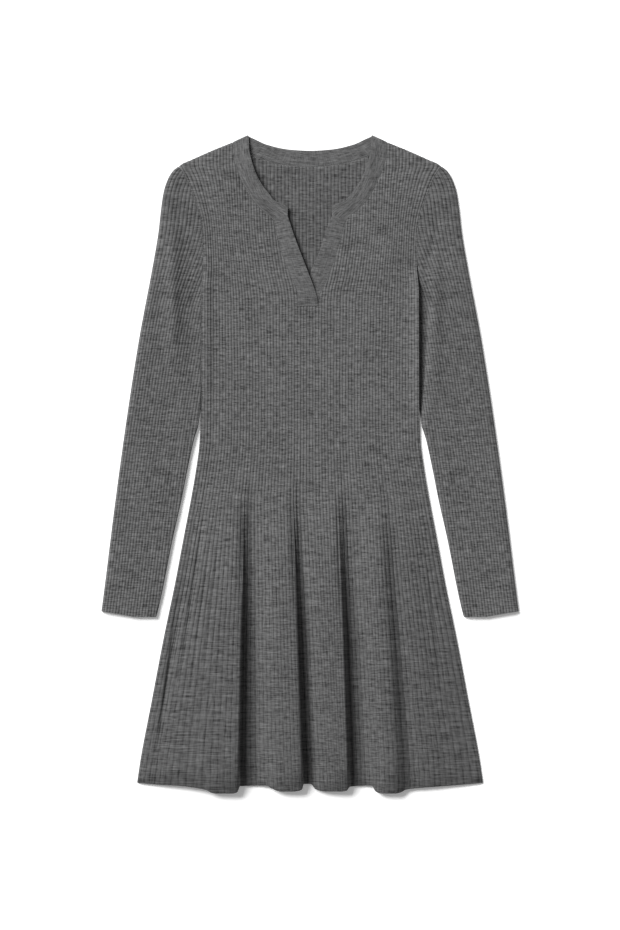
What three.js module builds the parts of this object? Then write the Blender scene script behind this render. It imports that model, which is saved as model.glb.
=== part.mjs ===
// Long-sleeved rib-knit dress with a notched neckline and a flared skirt, laid flat on its back.
// Millimetres: X across, Y from hem to neck, Z up from the surface. Left and right are as seen from above.
import * as THREE from "three";
import { mergeVertices } from "three/addons/utils/BufferGeometryUtils.js";

// Cloth
const wall = 1.6;
const ribHeight = 0.8;
const bodyRibs = 74;
const sleeveRibs = 27;
const seamGap = 0.5;
const neckGap = 1;
const armholeGap = 0.6;
const cornerGap = 1.6;

// Heights of the layers above the surface
const frontInside = wall + 0.3;
const bodicePuff = 0.5;
const neckRibHeight = 0.5;
const backFaceNearNeck = 1.3;
const bandFrontMiddle = 3.0;
const bandBackMiddle = wall / 2;
const placketMiddle = 2.9;
const placketOverlap = 5.1;

// Body
const hemHeight = -430;
const foldStart = -47;
const underarm = 268;
const backHemTuck = 3;
const lobeDrop = 12;
const lobeDropOutward = 5.2;
const foldCrest = 12.5;

// Half width at each height: the side seam up to the underarm, then the armhole seam
const sideSeam = [
  { y: -430, half: 233.5 },
  { y: -398, half: 228.8 },
  { y: -317, half: 213.3 },
  { y: -236, half: 197.8 },
  { y: -155, half: 180.9 },
  { y: -101, half: 170.8 },
  { y: -47, half: 160.5 },
  { y: -7, half: 153.6 },
  { y: 34, half: 148.5 },
  { y: 68, half: 147.8 },
  { y: 236, half: 147.2 },
  { y: 270, half: 144.5 },
  { y: 310, half: 145.5 },
  { y: 333, half: 148.5 },
  { y: 352, half: 154 },
  { y: 373, half: 161.5 },
  { y: 390, half: 169 },
  { y: 403, half: 177.5 },
];

// Shoulder seam, from the neck out to the sleeve
const shoulderSeam = [
  { x: 83.7, y: 445.4 },
  { x: 105.3, y: 435 },
  { x: 129.6, y: 425.3 },
  { x: 145.8, y: 418.2 },
  { x: 162, y: 411 },
  { x: 170, y: 407.6 },
  { x: 177.5, y: 403 },
];

// Seam of the neckband on the front, from the notch up to the shoulder
const neckSeam = [
  { x: 50, y: 331.4 },
  { x: 64.8, y: 344.2 },
  { x: 78.3, y: 359.5 },
  { x: 89.8, y: 380.3 },
  { x: 97.5, y: 397.3 },
  { x: 102.6, y: 414.5 },
  { x: 104.6, y: 433.4 },
];

// Free inner edge of the neckband on the front, with the corner at the notch
const neckEdge = [
  { x: 30, y: 336 },
  { x: 29.6, y: 347 },
  { x: 33, y: 351 },
  { x: 46.3, y: 356 },
  { x: 57.6, y: 369 },
  { x: 67.1, y: 382.2 },
  { x: 73.6, y: 395.6 },
  { x: 79, y: 411.8 },
  { x: 82.2, y: 429.3 },
  { x: 82.8, y: 443.4 },
];

// Seam and free edge of the neckband on the back, from the middle to the shoulder
const backNeckSeam = [
  { x: 0, y: 402.6 },
  { x: 31.1, y: 404.6 },
  { x: 64.8, y: 412.4 },
  { x: 90.5, y: 422.6 },
  { x: 103.7, y: 431.8 },
];
const backNeckEdge = [
  { x: 0, y: 424.2 },
  { x: 28.4, y: 425.9 },
  { x: 58.1, y: 432.4 },
  { x: 76, y: 440.4 },
  { x: 82.8, y: 443.4 },
];

// The two plackets of the notch: seam on the front panel and free edge, from the foot up
const leftPlacketSeam = [
  { x: -15.9, y: 214.7 },
  { x: -16.2, y: 228.8 },
  { x: -29.3, y: 263.2 },
  { x: -42.5, y: 301.1 },
  { x: -50, y: 331 },
];
const leftPlacketEdge = [
  { x: 10.5, y: 214.7 },
  { x: 9, y: 233.6 },
  { x: -5.5, y: 271 },
  { x: -19, y: 305.5 },
  { x: -30.2, y: 335.5 },
];
const rightPlacketSeam = [
  { x: 10.9, y: 214.7 },
  { x: 11.2, y: 225 },
  { x: 16.2, y: 234.5 },
  { x: 29.4, y: 266.6 },
  { x: 40.9, y: 300.8 },
  { x: 50, y: 331 },
];
const rightPlacketEdge = [
  { x: -14.2, y: 214.7 },
  { x: -9, y: 231 },
  { x: 1.1, y: 261 },
  { x: 12.4, y: 287.6 },
  { x: 22.8, y: 319.7 },
  { x: 28, y: 335.5 },
];

// Skirt folds, left to right: place across where the folds start, place across at the hem, height there
const skirtFolds = [
  { start: -160.5, hem: -233.5, rise: 0 },
  { start: -154, hem: -224, rise: 2.8 },
  { start: -147, hem: -216, rise: 0.8 },
  { start: -140.5, hem: -205, rise: 3.4 },
  { start: -135, hem: -194.5, rise: 1.4 },
  { start: -127, hem: -175.5, rise: 3 },
  { start: -115, hem: -147, rise: 4 },
  { start: -105.5, hem: -128, rise: 10.5 },
  { start: -96, hem: -112, rise: 12.5 },
  { start: -88.5, hem: -98.5, rise: 10.5 },
  { start: -85, hem: -92, rise: 0.3 },
  { start: -81, hem: -84.5, rise: 0 },
  { start: -71.5, hem: -71.5, rise: 4.5 },
  { start: -61, hem: -55.5, rise: 10.5 },
  { start: -43, hem: -34, rise: 12.5 },
  { start: -27, hem: -15.5, rise: 11 },
  { start: -20, hem: -7.5, rise: 0.2 },
  { start: -15, hem: -1.5, rise: 0 },
  { start: -8, hem: 6, rise: 10.5 },
  { start: 13.5, hem: 27, rise: 12.5 },
  { start: 36.5, hem: 48, rise: 10.5 },
  { start: 44.5, hem: 56, rise: 0.2 },
  { start: 50, hem: 63, rise: 0.2 },
  { start: 59.5, hem: 74, rise: 5.5 },
  { start: 71.5, hem: 89, rise: 10.5 },
  { start: 85, hem: 105.5, rise: 12.3 },
  { start: 100, hem: 120, rise: 9 },
  { start: 109.5, hem: 132.5, rise: 3.5 },
  { start: 124, hem: 154, rise: 5 },
  { start: 137.5, hem: 173, rise: 3.2 },
  { start: 148.5, hem: 196, rise: 4 },
  { start: 155, hem: 216, rise: 3 },
  { start: 160.5, hem: 233.5, rise: 0 },
];

// How much of a fold's height it has at each height of the skirt
const foldGrowth = [
  { y: -430, share: 1 },
  { y: -317, share: 0.88 },
  { y: -236, share: 0.75 },
  { y: -155, share: 0.56 },
  { y: -101, share: 0.38 },
  { y: -60, share: 0.2 },
  { y: -7, share: 0 },
];

// How far the ribs beside the notch lean away from the middle
const notchSpread = [
  { y: 215, shift: 0 },
  { y: 260, shift: 10 },
  { y: 332, shift: 24 },
  { y: 445, shift: 27 },
];

// Heights of the rows across the body below the notch, and shares of each column above that
const bodyRows = [-385, -320, -250, -180, -120, -75, -25, 50, 140, 206];
const upperShares = [0.18, 0.36, 0.52, 0.68, 0.84, 1];

// Sleeve laid beside the body: edge away from the body and edge beside it, from cuff to armhole
const sleeveOuterEdge = [
  { x: 280.8, y: -191.7 },
  { x: 276.1, y: -155.3 },
  { x: 262.6, y: -47.3 },
  { x: 247.7, y: 60.8 },
  { x: 230.9, y: 168.8 },
  { x: 212, y: 270 },
  { x: 204.5, y: 314.6 },
  { x: 201.2, y: 344.3 },
  { x: 197.8, y: 367.2 },
  { x: 191.7, y: 386.1 },
  { x: 184.4, y: 397.6 },
  { x: 178.4, y: 402.4 },
];
const sleeveInnerEdge = [
  { x: 207.2, y: -203.9 },
  { x: 201.8, y: -182.3 },
  { x: 185.6, y: -101.3 },
  { x: 173.5, y: -47.3 },
  { x: 162.7, y: 6.8 },
  { x: 156.6, y: 33.8 },
  { x: 150.6, y: 60 },
  { x: 148.9, y: 90 },
  { x: 148.6, y: 236 },
  { x: 145.6, y: underarm },
];

// The right sleeve lies a little away from the body below the underarm
const creviceWidth = 8;
const creviceMiddle = 205;
const creviceReach = 75;
const creviceClosing = 20;

const sleeveRows = 12;
const sleeveHeight = 5.6;
const sleeveHeightAtArmhole = 4;
const sleeveEdgeRise = 0.38;
const sleeveSquareness = 8;
const capStart = 0.6;
const taperStart = 0.85;

const knit = new THREE.MeshStandardMaterial({ color: 0x646566, roughness: 0.95, metalness: 0 });
const jersey = new THREE.MeshStandardMaterial({ color: 0x68696a, roughness: 0.95, metalness: 0 });

// Smooth curve through a table's rows that never overshoots them, level past both ends
function curveThrough(rows, from, to) {
  const xs = rows.map((row) => row[from]);
  const ys = rows.map((row) => row[to]);
  const last = xs.length - 1;
  const slopes = xs.slice(1).map((x, i) => (ys[i + 1] - ys[i]) / (x - xs[i]));
  const tangents = xs.map((_, i) => {
    if (i === 0) return slopes[0];
    if (i === last) return slopes[last - 1];
    const product = slopes[i - 1] * slopes[i];
    return product > 0 ? (2 * product) / (slopes[i - 1] + slopes[i]) : 0;
  });
  return (x) => {
    if (x <= xs[0]) return ys[0];
    if (x >= xs[last]) return ys[last];
    const i = xs.findIndex((edge) => edge > x) - 1;
    const width = xs[i + 1] - xs[i];
    const t = (x - xs[i]) / width;
    const before = ys[i] * (1 + 2 * t) * (1 - t) ** 2 + ys[i + 1] * t * t * (3 - 2 * t);
    return before + width * (tangents[i] * t * (1 - t) ** 2 - tangents[i + 1] * t * t * (1 - t));
  };
}

const creviceAt = (y) => creviceWidth * Math.exp(-(((y - creviceMiddle) / creviceReach) ** 2));
const mirrored = (rows) => rows.map((row) => ({ x: -row.x, y: row.y }));
const smoothStep = (t) => t * t * (3 - 2 * t);
const clamp01 = (t) => Math.min(1, Math.max(0, t));
const mix = (a, b, t) => a + (b - a) * t;

const halfWidth = curveThrough(sideSeam, "y", "half");
const underarmHalf = halfWidth(underarm);
const shoulderAt = curveThrough(shoulderSeam, "x", "y");
const backNeckAt = curveThrough(backNeckSeam, "x", "y");
const leftOpeningAt = curveThrough([...mirrored(leftPlacketSeam), ...neckSeam.slice(1)], "y", "x");
const rightOpeningAt = curveThrough([...rightPlacketSeam, ...neckSeam.slice(1)], "y", "x");
const openingAt = (side, y) => (side < 0 ? leftOpeningAt(y) : rightOpeningAt(y));
const openingSeam = (side, y) => new THREE.Vector3(side * openingAt(side, y), y, 0);
const spreadAt = curveThrough(notchSpread, "y", "shift");
const growthAt = curveThrough(foldGrowth, "y", "share");
const hemPlaceAt = curveThrough(skirtFolds, "start", "hem");
const riseAt = curveThrough(skirtFolds, "start", "rise");
const foldSpan = skirtFolds.at(-1).start;

// Place across of a point of the cloth; share runs from -1 at the left seam to 1 at the right one
function placeAcross(share, y, folded) {
  const side = Math.sign(share);
  const depth = Math.abs(share);
  if (y >= underarm) {
    const flare = halfWidth(y) - underarmHalf;
    const lean = folded ? spreadAt(y) * (1 - depth) : 0;
    return side * (depth * underarmHalf + flare * depth ** 4 + lean);
  }
  const lean = folded ? side * spreadAt(y) * (1 - depth) : 0;
  const plain = share * halfWidth(y) + lean;
  if (!folded || y >= foldStart) return plain;
  const gathered = hemPlaceAt(share * foldSpan) - share * halfWidth(hemHeight);
  return plain + (gathered * (foldStart - y)) / (foldStart - hemHeight);
}

// Inside face of the front panel
function frontInsidePoint(share, y) {
  const puff = bodicePuff * (1 - share ** 4);
  const rise = riseAt(share * foldSpan) * growthAt(y);
  return new THREE.Vector3(placeAcross(share, y, true), y, frontInside + puff + rise);
}

// The same point moved out through the wall, square to the folds
function frontOutsidePoint(share, y, thickness) {
  const step = 0.004;
  const before = frontInsidePoint(Math.max(-1, share - step), y);
  const after = frontInsidePoint(Math.min(1, share + step), y);
  const across = after.sub(before).normalize();
  const out = new THREE.Vector3(-across.z, 0, across.x).multiplyScalar(thickness);
  return frontInsidePoint(share, y).add(out);
}

// Height of the front hem: the crests of the folds reach lower, the outer ones most
function frontHemAt(share) {
  const lobe = lobeDrop + lobeDropOutward * Math.abs(share);
  return hemHeight - (lobe * riseAt(share * foldSpan)) / foldCrest;
}

// Whether a place lies past the end of the front panel: in the neck opening or beyond the shoulder
function pastFront(x, y) {
  const away = Math.abs(x);
  const gap = y < neckSeam[0].y ? seamGap : neckGap;
  const inOpening = y >= leftPlacketSeam[0].y - seamGap && away <= openingAt(Math.sign(x), y) + gap;
  return inOpening || y >= shoulderAt(away) - seamGap;
}

function pastBack(x, y) {
  const away = Math.abs(x);
  if (away >= backNeckSeam.at(-1).x + cornerGap) return y >= shoulderAt(away) - seamGap;
  return y >= backNeckAt(away - seamGap) - seamGap;
}

// Height at which a column of the cloth reaches the panel's end, found by halving
function columnEnd(share, isPast, folded) {
  const past = (y) => isPast(placeAcross(share, y, folded), y);
  let high = bodyRows.at(-1);
  while (!past(high)) high += 1;
  let low = high - 1;
  for (let i = 0; i < 20; i += 1) {
    const middle = (low + high) / 2;
    if (past(middle)) high = middle;
    else low = middle;
  }
  return high;
}

function columnHeights(share, hem, isPast, folded) {
  const end = columnEnd(share, isPast, folded);
  const start = bodyRows.at(-1);
  return [hem, ...bodyRows, ...upperShares.map((part) => mix(start, end, part))];
}

// Triangles of a grid of points; its rows run along +Y and its columns along +X when it faces up
function addGrid(faces, rows, facesUp) {
  for (let i = 1; i < rows.length; i += 1) {
    for (let j = 1; j < rows[i].length; j += 1) {
      const [a, b, c, d] = [rows[i - 1][j - 1], rows[i - 1][j], rows[i][j], rows[i][j - 1]];
      if (facesUp) faces.push(a, b, c, a, c, d);
      else faces.push(a, c, b, a, d, c);
    }
  }
}

// Triangles between two lines of points of any length; the outside is on their right, upper one above
function addRim(faces, upper, lower) {
  const upperShare = sharesAlong(upper);
  const lowerShare = sharesAlong(lower);
  let i = 0;
  let j = 0;
  while (i < upper.length - 1 || j < lower.length - 1) {
    const upperNext = i < upper.length - 1 ? upperShare[i + 1] : Infinity;
    const lowerNext = j < lower.length - 1 ? lowerShare[j + 1] : Infinity;
    if (upperNext <= lowerNext) {
      faces.push(upper[i], lower[j], upper[i + 1]);
      i += 1;
    } else {
      faces.push(upper[i], lower[j], lower[j + 1]);
      j += 1;
    }
  }
}

function sharesAlong(line) {
  const sums = [0];
  for (let i = 1; i < line.length; i += 1) sums.push(sums[i - 1] + line[i].distanceTo(line[i - 1]));
  return sums.map((sum) => sum / sums.at(-1));
}

const firstOf = (rows) => rows.map((row) => row[0]);
const lastOf = (rows) => rows.map((row) => row.at(-1));

// Closes the four sides between an upper and a lower grid
function addSides(faces, upper, lower) {
  addRim(faces, upper[0], lower[0]);
  addRim(faces, lastOf(upper), lastOf(lower));
  addRim(faces, [...upper.at(-1)].reverse(), [...lower.at(-1)].reverse());
  addRim(faces, firstOf(upper).reverse(), firstOf(lower).reverse());
}

function solidFrom(name, faces, material) {
  const geometry = new THREE.BufferGeometry();
  const numbers = faces.flatMap((point) => [point.x, point.y, point.z]);
  geometry.setAttribute("position", new THREE.Float32BufferAttribute(numbers, 3));
  const mesh = new THREE.Mesh(mergeVertices(geometry, 1e-3), material);
  mesh.geometry.computeVertexNormals();
  mesh.name = name;
  return mesh;
}

// Half width of the body's edge as its rows draw it, straight between them
const edgeHeights = columnHeights(1, hemHeight, pastFront, true);
function drawnHalfWidth(y) {
  const i = Math.min(edgeHeights.length - 1, Math.max(1, edgeHeights.findIndex((height) => height >= y)));
  const t = (y - edgeHeights[i - 1]) / (edgeHeights[i] - edgeHeights[i - 1]);
  return mix(halfWidth(edgeHeights[i - 1]), halfWidth(edgeHeights[i]), t);
}

const transposed = (columns) => columns[0].map((_, i) => columns.map((column) => column[i]));

// Columns of the body's cloth, a furrow and a ridge to each rib; the plain inside keeps the furrows
const ribColumns = Array.from({ length: 2 * bodyRibs + 1 }, (_, i) => ({
  share: i / bodyRibs - 1,
  ridge: i % 2,
  plain: i % 2 === 0,
  order: i,
}));

// Two more columns stand at the corners of the notch's foot
const footCorners = [leftPlacketSeam[0].x - seamGap, rightPlacketSeam[0].x + seamGap].map((x) => ({
  share: x / halfWidth(leftPlacketSeam[0].y),
  ridge: 0.5,
  plain: true,
}));
const frontColumns = [...ribColumns, ...footCorners].sort((a, b) => a.share - b.share);

// Front panel: plain inside, two columns to a rib outside
function makeFront() {
  const outside = [];
  const inside = [];
  frontColumns.forEach(({ share, ridge, plain }) => {
    const heights = columnHeights(share, frontHemAt(share), pastFront, true);
    outside.push(heights.map((y) => frontOutsidePoint(share, y, wall + ridge * ribHeight)));
    if (plain) inside.push(heights.map((y) => frontInsidePoint(share, y)));
  });
  const faces = [];
  const upper = transposed(outside);
  const lower = transposed(inside);
  addGrid(faces, upper, true);
  addGrid(faces, lower, false);
  addSides(faces, upper, lower);
  return solidFrom("front", faces, knit);
}

// Back panel: flat on the surface, with ribs on its inside face where the neckline shows it
function makeBack() {
  const ribbedShare = 0.76;
  const coarseStep = 4;
  const backHem = hemHeight + backHemTuck;
  const neckStart = bodyRows.at(-1);
  const isRibbed = ({ share }) => Math.abs(share) < ribbedShare;
  const fine = ribColumns.filter((column) => isRibbed(column) || column.order % coarseStep === 0);
  const coarse = ribColumns.filter((column) => column.order % coarseStep === 0);
  const rowsOf = (columns, levelAt) =>
    transposed(
      columns.map((column) =>
        columnHeights(column.share, backHem, pastBack, false).map(
          (y) => new THREE.Vector3(placeAcross(column.share, y, false), y, levelAt(column, y)),
        ),
      ),
    );
  const upperLevel = (column, y) =>
    y > neckStart && isRibbed(column) ? backFaceNearNeck + column.ridge * neckRibHeight : wall;
  const fineUpper = rowsOf(fine, upperLevel).slice(bodyRows.length);
  const coarseUpper = rowsOf(coarse, upperLevel).slice(0, bodyRows.length + 1);
  const under = rowsOf(coarse, () => 0);
  const underEnd = rowsOf(fine, () => 0).at(-1);
  const faces = [];
  addGrid(faces, fineUpper, true);
  addGrid(faces, coarseUpper, true);
  addRim(faces, fineUpper[0], coarseUpper.at(-1));
  addGrid(faces, under.slice(0, -1), false);
  addRim(faces, under.at(-2), underEnd);
  const upperSides = [...coarseUpper, ...fineUpper.slice(1)];
  addRim(faces, coarseUpper[0], under[0]);
  addRim(faces, lastOf(upperSides), lastOf(under));
  addRim(faces, [...fineUpper.at(-1)].reverse(), [...underEnd].reverse());
  addRim(faces, firstOf(upperSides).reverse(), firstOf(under).reverse());
  return solidFrom("back", faces, knit);
}

const planCurve = (rows, side) =>
  new THREE.CatmullRomCurve3(rows.map(({ x, y }) => new THREE.Vector3(side * x, y, 0)), false, "centripetal");

// Sleeve: a flattened tube, ribbed on top and flat below; side is -1 for the left one and 1 for the right
function makeSleeve(name, side) {
  const outerEdge = planCurve(sleeveOuterEdge, 1);
  const innerEdge = planCurve(sleeveInnerEdge, 1);
  const planPoint = (across, along) => {
    const outer = outerEdge.getPointAt(along);
    const inner = innerEdge.getPointAt(along);
    if (side > 0) inner.x += creviceAt(inner.y) * (1 - along ** creviceClosing);
    const point = outer.lerp(inner, across);
    const seamY = mix(sleeveOuterEdge.at(-1).y, underarm, across);
    const chordX = mix(sleeveOuterEdge.at(-1).x, sleeveInnerEdge.at(-1).x, across);
    const pull = smoothStep(clamp01((along - capStart) / (1 - capStart)));
    point.x += (drawnHalfWidth(seamY) + armholeGap - chordX) * pull;
    return point;
  };
  const ring = (along, inset, stations) => {
    const taper = clamp01((along - taperStart) / (1 - taperStart));
    const height = mix(sleeveHeight, sleeveHeightAtArmhole, taper);
    const width = planPoint(0, along).distanceTo(planPoint(1, along));
    return stations.map(({ across, above, rib }) => {
      const point = planPoint(mix(inset / width, 1 - inset / width, across), along);
      const centre = height * sleeveEdgeRise;
      const fullness = Math.sqrt(1 - Math.abs(2 * across - 1) ** sleeveSquareness);
      point.z = above ? mix(centre, height - inset, fullness) + rib : inset;
      point.x *= side;
      return point;
    });
  };
  const topStations = Array.from({ length: 2 * sleeveRibs + 1 }, (_, i) => ({
    across: i / (2 * sleeveRibs),
    above: true,
    rib: i % 2 ? ribHeight : 0,
  }));
  const underPlaces = [0.96, 0.75, 0.5, 0.25, 0.04];
  const underStations = underPlaces.map((across) => ({ across, above: false, rib: 0 }));
  const slotPlaces = [0, 0.06, 0.3, 0.5, 0.7, 0.94, 1];
  const slotTop = slotPlaces.map((across) => ({ across, above: true, rib: 0 }));
  const slotUnder = slotPlaces.slice(1, -1).reverse().map((across) => ({ across, above: false, rib: 0 }));
  const outer = [];
  const inner = [];
  for (let row = 0; row <= sleeveRows; row += 1) {
    outer.push(ring(row / sleeveRows, 0, [...topStations, ...underStations]));
    inner.push(ring(row / sleeveRows, wall, [...slotTop, ...slotUnder]));
  }
  const faces = [];
  const closed = (line) => [...line, line[0]];
  const leftward = side < 0;
  addGrid(faces, outer.map(closed), leftward);
  addGrid(faces, inner.map(closed), !leftward);
  const addEnd = (row, flip) => {
    const split = (line, corner) => [line.slice(0, corner + 1), [...line.slice(corner), line[0]]];
    const outerParts = split(outer[row], 2 * sleeveRibs);
    const innerParts = split(inner[row], slotPlaces.length - 1);
    outerParts.forEach((line, i) => {
      if (flip) addRim(faces, innerParts[i], line);
      else addRim(faces, line, innerParts[i]);
    });
  };
  addEnd(0, !leftward);
  addEnd(sleeveRows, leftward);
  return solidFrom(name, faces, knit);
}

// Strip of knit carried along a row of sections; each has a seam point, an edge point and an outward side
function makeStrip(name, sections) {
  const crown = 0.25;
  const rings = sections.map(({ seam, edge, out }) => {
    const middle = seam.clone().lerp(edge, 0.5);
    const places = [seam, middle, edge];
    const swell = crown * Math.max(0, out.z);
    const levels = [wall / 2, wall / 2 + swell, wall / 2];
    const raised = places.map((place, i) => place.clone().addScaledVector(out, levels[i]));
    const under = places.map((place) => place.clone().addScaledVector(out, -wall / 2)).reverse();
    return [...raised, ...under, raised[0]];
  });
  const faces = [];
  addGrid(faces, rings, true);
  const fan = (ring, facesStart) => {
    const quads = [[0, 1, 4, 5], [1, 2, 3, 4]];
    quads.forEach(([a, b, c, d]) => {
      const corners = [ring[a], ring[b], ring[c], ring[d]];
      const [p, q, r, s] = facesStart ? corners.reverse() : corners;
      faces.push(p, q, r, p, r, s);
    });
  };
  fan(rings[0], true);
  fan(rings.at(-1), false);
  return solidFrom(name, faces, jersey);
}

// Neckband: up the front from the left end, folded over the left shoulder, round the back and down again
function makeNeckband() {
  const frontSteps = 18;
  const foldSteps = 6;
  const backSteps = 22;
  const turn = (bandFrontMiddle - bandBackMiddle) / 2;
  const foldMiddle = (bandFrontMiddle + bandBackMiddle) / 2;
  const up = new THREE.Vector3(0, 0, 1);
  const sideSections = (side) => {
    const edgeCurve = planCurve(neckEdge, side);
    return Array.from({ length: frontSteps + 1 }, (_, i) => {
      const lift = new THREE.Vector3(0, 0, bandFrontMiddle);
      const seam = openingSeam(side, mix(neckSeam[0].y, backNeckSeam.at(-1).y, i / frontSteps)).add(lift);
      const edge = edgeCurve.getPointAt(i / frontSteps).add(lift);
      return { seam, edge, out: up.clone() };
    });
  };
  const foldSections = (side) => {
    const seam = new THREE.Vector3(side * backNeckSeam.at(-1).x, backNeckSeam.at(-1).y, foldMiddle);
    const edge = new THREE.Vector3(side * backNeckEdge.at(-1).x, backNeckEdge.at(-1).y, foldMiddle);
    const alongFold = edge.clone().sub(seam).normalize();
    const beyond = new THREE.Vector3(-alongFold.y, alongFold.x, 0).multiplyScalar(-side);
    return Array.from({ length: foldSteps - 1 }, (_, i) => {
      const angle = (Math.PI * (i + 1)) / foldSteps;
      const out = beyond.clone().multiplyScalar(Math.sin(angle)).addScaledVector(up, Math.cos(angle));
      const shift = out.clone().multiplyScalar(turn);
      return { seam: seam.clone().add(shift), edge: edge.clone().add(shift), out };
    });
  };
  const wholeBack = (rows) => planCurve([...mirrored(rows).reverse(), ...rows.slice(1)], 1);
  const backSeamCurve = wholeBack(backNeckSeam);
  const backEdgeCurve = wholeBack(backNeckEdge);
  const backSections = Array.from({ length: backSteps + 1 }, (_, i) => {
    const lift = new THREE.Vector3(0, 0, bandBackMiddle);
    const seam = backSeamCurve.getPointAt(i / backSteps).add(lift);
    const edge = backEdgeCurve.getPointAt(i / backSteps).add(lift);
    return { seam, edge, out: up.clone().negate() };
  });
  return makeStrip("neckband", [
    ...sideSections(-1),
    ...foldSections(-1),
    ...backSections,
    ...foldSections(1).reverse(),
    ...sideSections(1).reverse(),
  ]);
}

// Placket: a strip from the foot of the notch up to the neckband; the upper one rises over the lower one
function makePlacket(name, side, edgeRows, footMiddle) {
  const edgeAt = curveThrough(edgeRows, "y", "x");
  const steps = 14;
  const lapEnd = 0.27;
  const lapFree = 0.72;
  const sections = Array.from({ length: steps + 1 }, (_, i) => {
    const along = i / steps;
    const lift = mix(footMiddle, placketMiddle, smoothStep(clamp01((along - lapEnd) / (lapFree - lapEnd))));
    const seamY = mix(leftPlacketSeam[0].y, leftPlacketSeam.at(-1).y, along);
    const edgeY = mix(edgeRows[0].y, edgeRows.at(-1).y, along);
    const seam = openingSeam(side, seamY).setZ(lift);
    const edge = new THREE.Vector3(edgeAt(edgeY), edgeY, lift);
    return { seam, edge, out: new THREE.Vector3(0, 0, 1) };
  });
  return makeStrip(name, side < 0 ? sections : sections.reverse());
}

const dress = new THREE.Group();
dress.add(
  makeBack(),
  makeFront(),
  makeSleeve("sleeve_left", -1),
  makeSleeve("sleeve_right", 1),
  makeNeckband(),
  makePlacket("placket_right", 1, rightPlacketEdge, placketMiddle),
  makePlacket("placket_left", -1, leftPlacketEdge, placketOverlap),
);

export default dress;
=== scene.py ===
import bmesh
import bpy
import numpy as np
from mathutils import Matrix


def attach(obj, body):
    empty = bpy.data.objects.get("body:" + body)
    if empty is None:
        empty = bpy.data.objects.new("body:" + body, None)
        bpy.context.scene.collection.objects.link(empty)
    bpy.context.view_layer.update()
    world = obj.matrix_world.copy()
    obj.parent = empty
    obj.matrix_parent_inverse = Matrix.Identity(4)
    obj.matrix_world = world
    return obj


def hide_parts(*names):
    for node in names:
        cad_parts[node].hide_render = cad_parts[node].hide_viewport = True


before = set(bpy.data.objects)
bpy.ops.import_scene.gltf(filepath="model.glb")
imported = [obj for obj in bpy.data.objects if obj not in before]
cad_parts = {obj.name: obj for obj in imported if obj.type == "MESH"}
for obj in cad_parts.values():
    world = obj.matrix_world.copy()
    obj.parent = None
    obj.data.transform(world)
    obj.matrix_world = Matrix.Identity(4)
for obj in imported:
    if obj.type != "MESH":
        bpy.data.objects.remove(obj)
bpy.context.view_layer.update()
print("frame loaded")

# Every size below is in millimetres in the CAD frame, and the meshes are made in metres
mm = 0.001

knit = {
    "wall": 1.6,
    "ribHeight": 0.8,
    "ribPitch": 4.0,       # width of one rib in the cloth's own coordinates
    "pointsPerRib": 6,
    "ribRoundness": 0.6,   # smaller makes the ribs fuller and the furrows narrower
    "rimRows": 2,
}


# Smooth curve through a table: cubic pieces with harmonic mean slopes, so it never overshoots its rows
def smoothCurve(xs, ys):
    xs = np.asarray(xs, float)
    ys = np.asarray(ys, float)
    slopes = np.diff(ys) / np.diff(xs)
    product = slopes[:-1] * slopes[1:]
    turning = product <= 0
    total = np.where(turning, 1, slopes[:-1] + slopes[1:])
    middle = np.where(turning, 0, 2 * product / total)
    tangents = np.concatenate([slopes[:1], middle, slopes[-1:]])

    def curve(x):
        x = np.clip(x, xs[0], xs[-1])
        i = np.clip(np.searchsorted(xs, x, side="right") - 1, 0, len(xs) - 2)
        width = xs[i + 1] - xs[i]
        t = (x - xs[i]) / width
        level = ys[i] * (1 + 2 * t) * (1 - t) ** 2 + ys[i + 1] * t * t * (3 - 2 * t)
        return level + width * (tangents[i] * t * (1 - t) ** 2 - tangents[i + 1] * t * t * (1 - t))

    return curve


# The same from rows of two numbers each
def tableCurve(rows):
    return smoothCurve(*zip(*rows))


# Smooth path in plan through a table of points, by its share of the whole length
def pathCurve(rows):
    xs, ys = np.array(rows, float).T
    along = np.concatenate([[0], np.cumsum(np.hypot(np.diff(xs), np.diff(ys)))])
    xAt = smoothCurve(along, xs)
    yAt = smoothCurve(along, ys)
    return lambda share: (xAt(share * along[-1]), yAt(share * along[-1]))


# From a at 0 to b at 1, evenly
def mixed(a, b, t):
    return a + (b - a) * t


# From 0 to 1 with level ends: three times the square less twice the cube
def smoothStep(t):
    t = np.clip(t, 0, 1)
    return t * t * (3 - 2 * t)


# Quarter ellipse from 0 with an upright start to a level 1, as cloth turns over a folded edge
def roundOver(t):
    return np.sqrt(1 - (1 - np.clip(t, 0, 1)) ** 2)


# Rounded rib between two narrow furrows: a power of the sine of the place within the rib
def ribShape(ribs):
    return np.abs(np.sin(np.pi * ribs)) ** knit["ribRoundness"]


# Sum of soft troughs and ridges, each a bell across its own line that fades out in its end thirds
def creaseRelief(x, y, creases):
    relief = 0
    for x0, y0, x1, y1, width, height in creases:
        length = np.hypot(x1 - x0, y1 - y0)
        along = ((x - x0) * (x1 - x0) + (y - y0) * (y1 - y0)) / length ** 2
        off = ((x - x0) * (y1 - y0) - (y - y0) * (x1 - x0)) / length
        fade = smoothStep(3 * along) * smoothStep(3 * (1 - along))
        relief = relief + height * fade * np.exp(-((off / width) ** 2))
    return relief


# Quads between the neighbouring rows and columns of a grid of point numbers
def gridQuads(ids):
    return np.stack([ids[:-1, :-1], ids[:-1, 1:], ids[1:, 1:], ids[1:, :-1]], -1).reshape(-1, 4)


# Once round the border of a grid
def borderLoop(grid):
    return np.concatenate([grid[0, :-1], grid[:-1, -1], grid[-1, :0:-1], grid[:0:-1, 0]])


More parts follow.
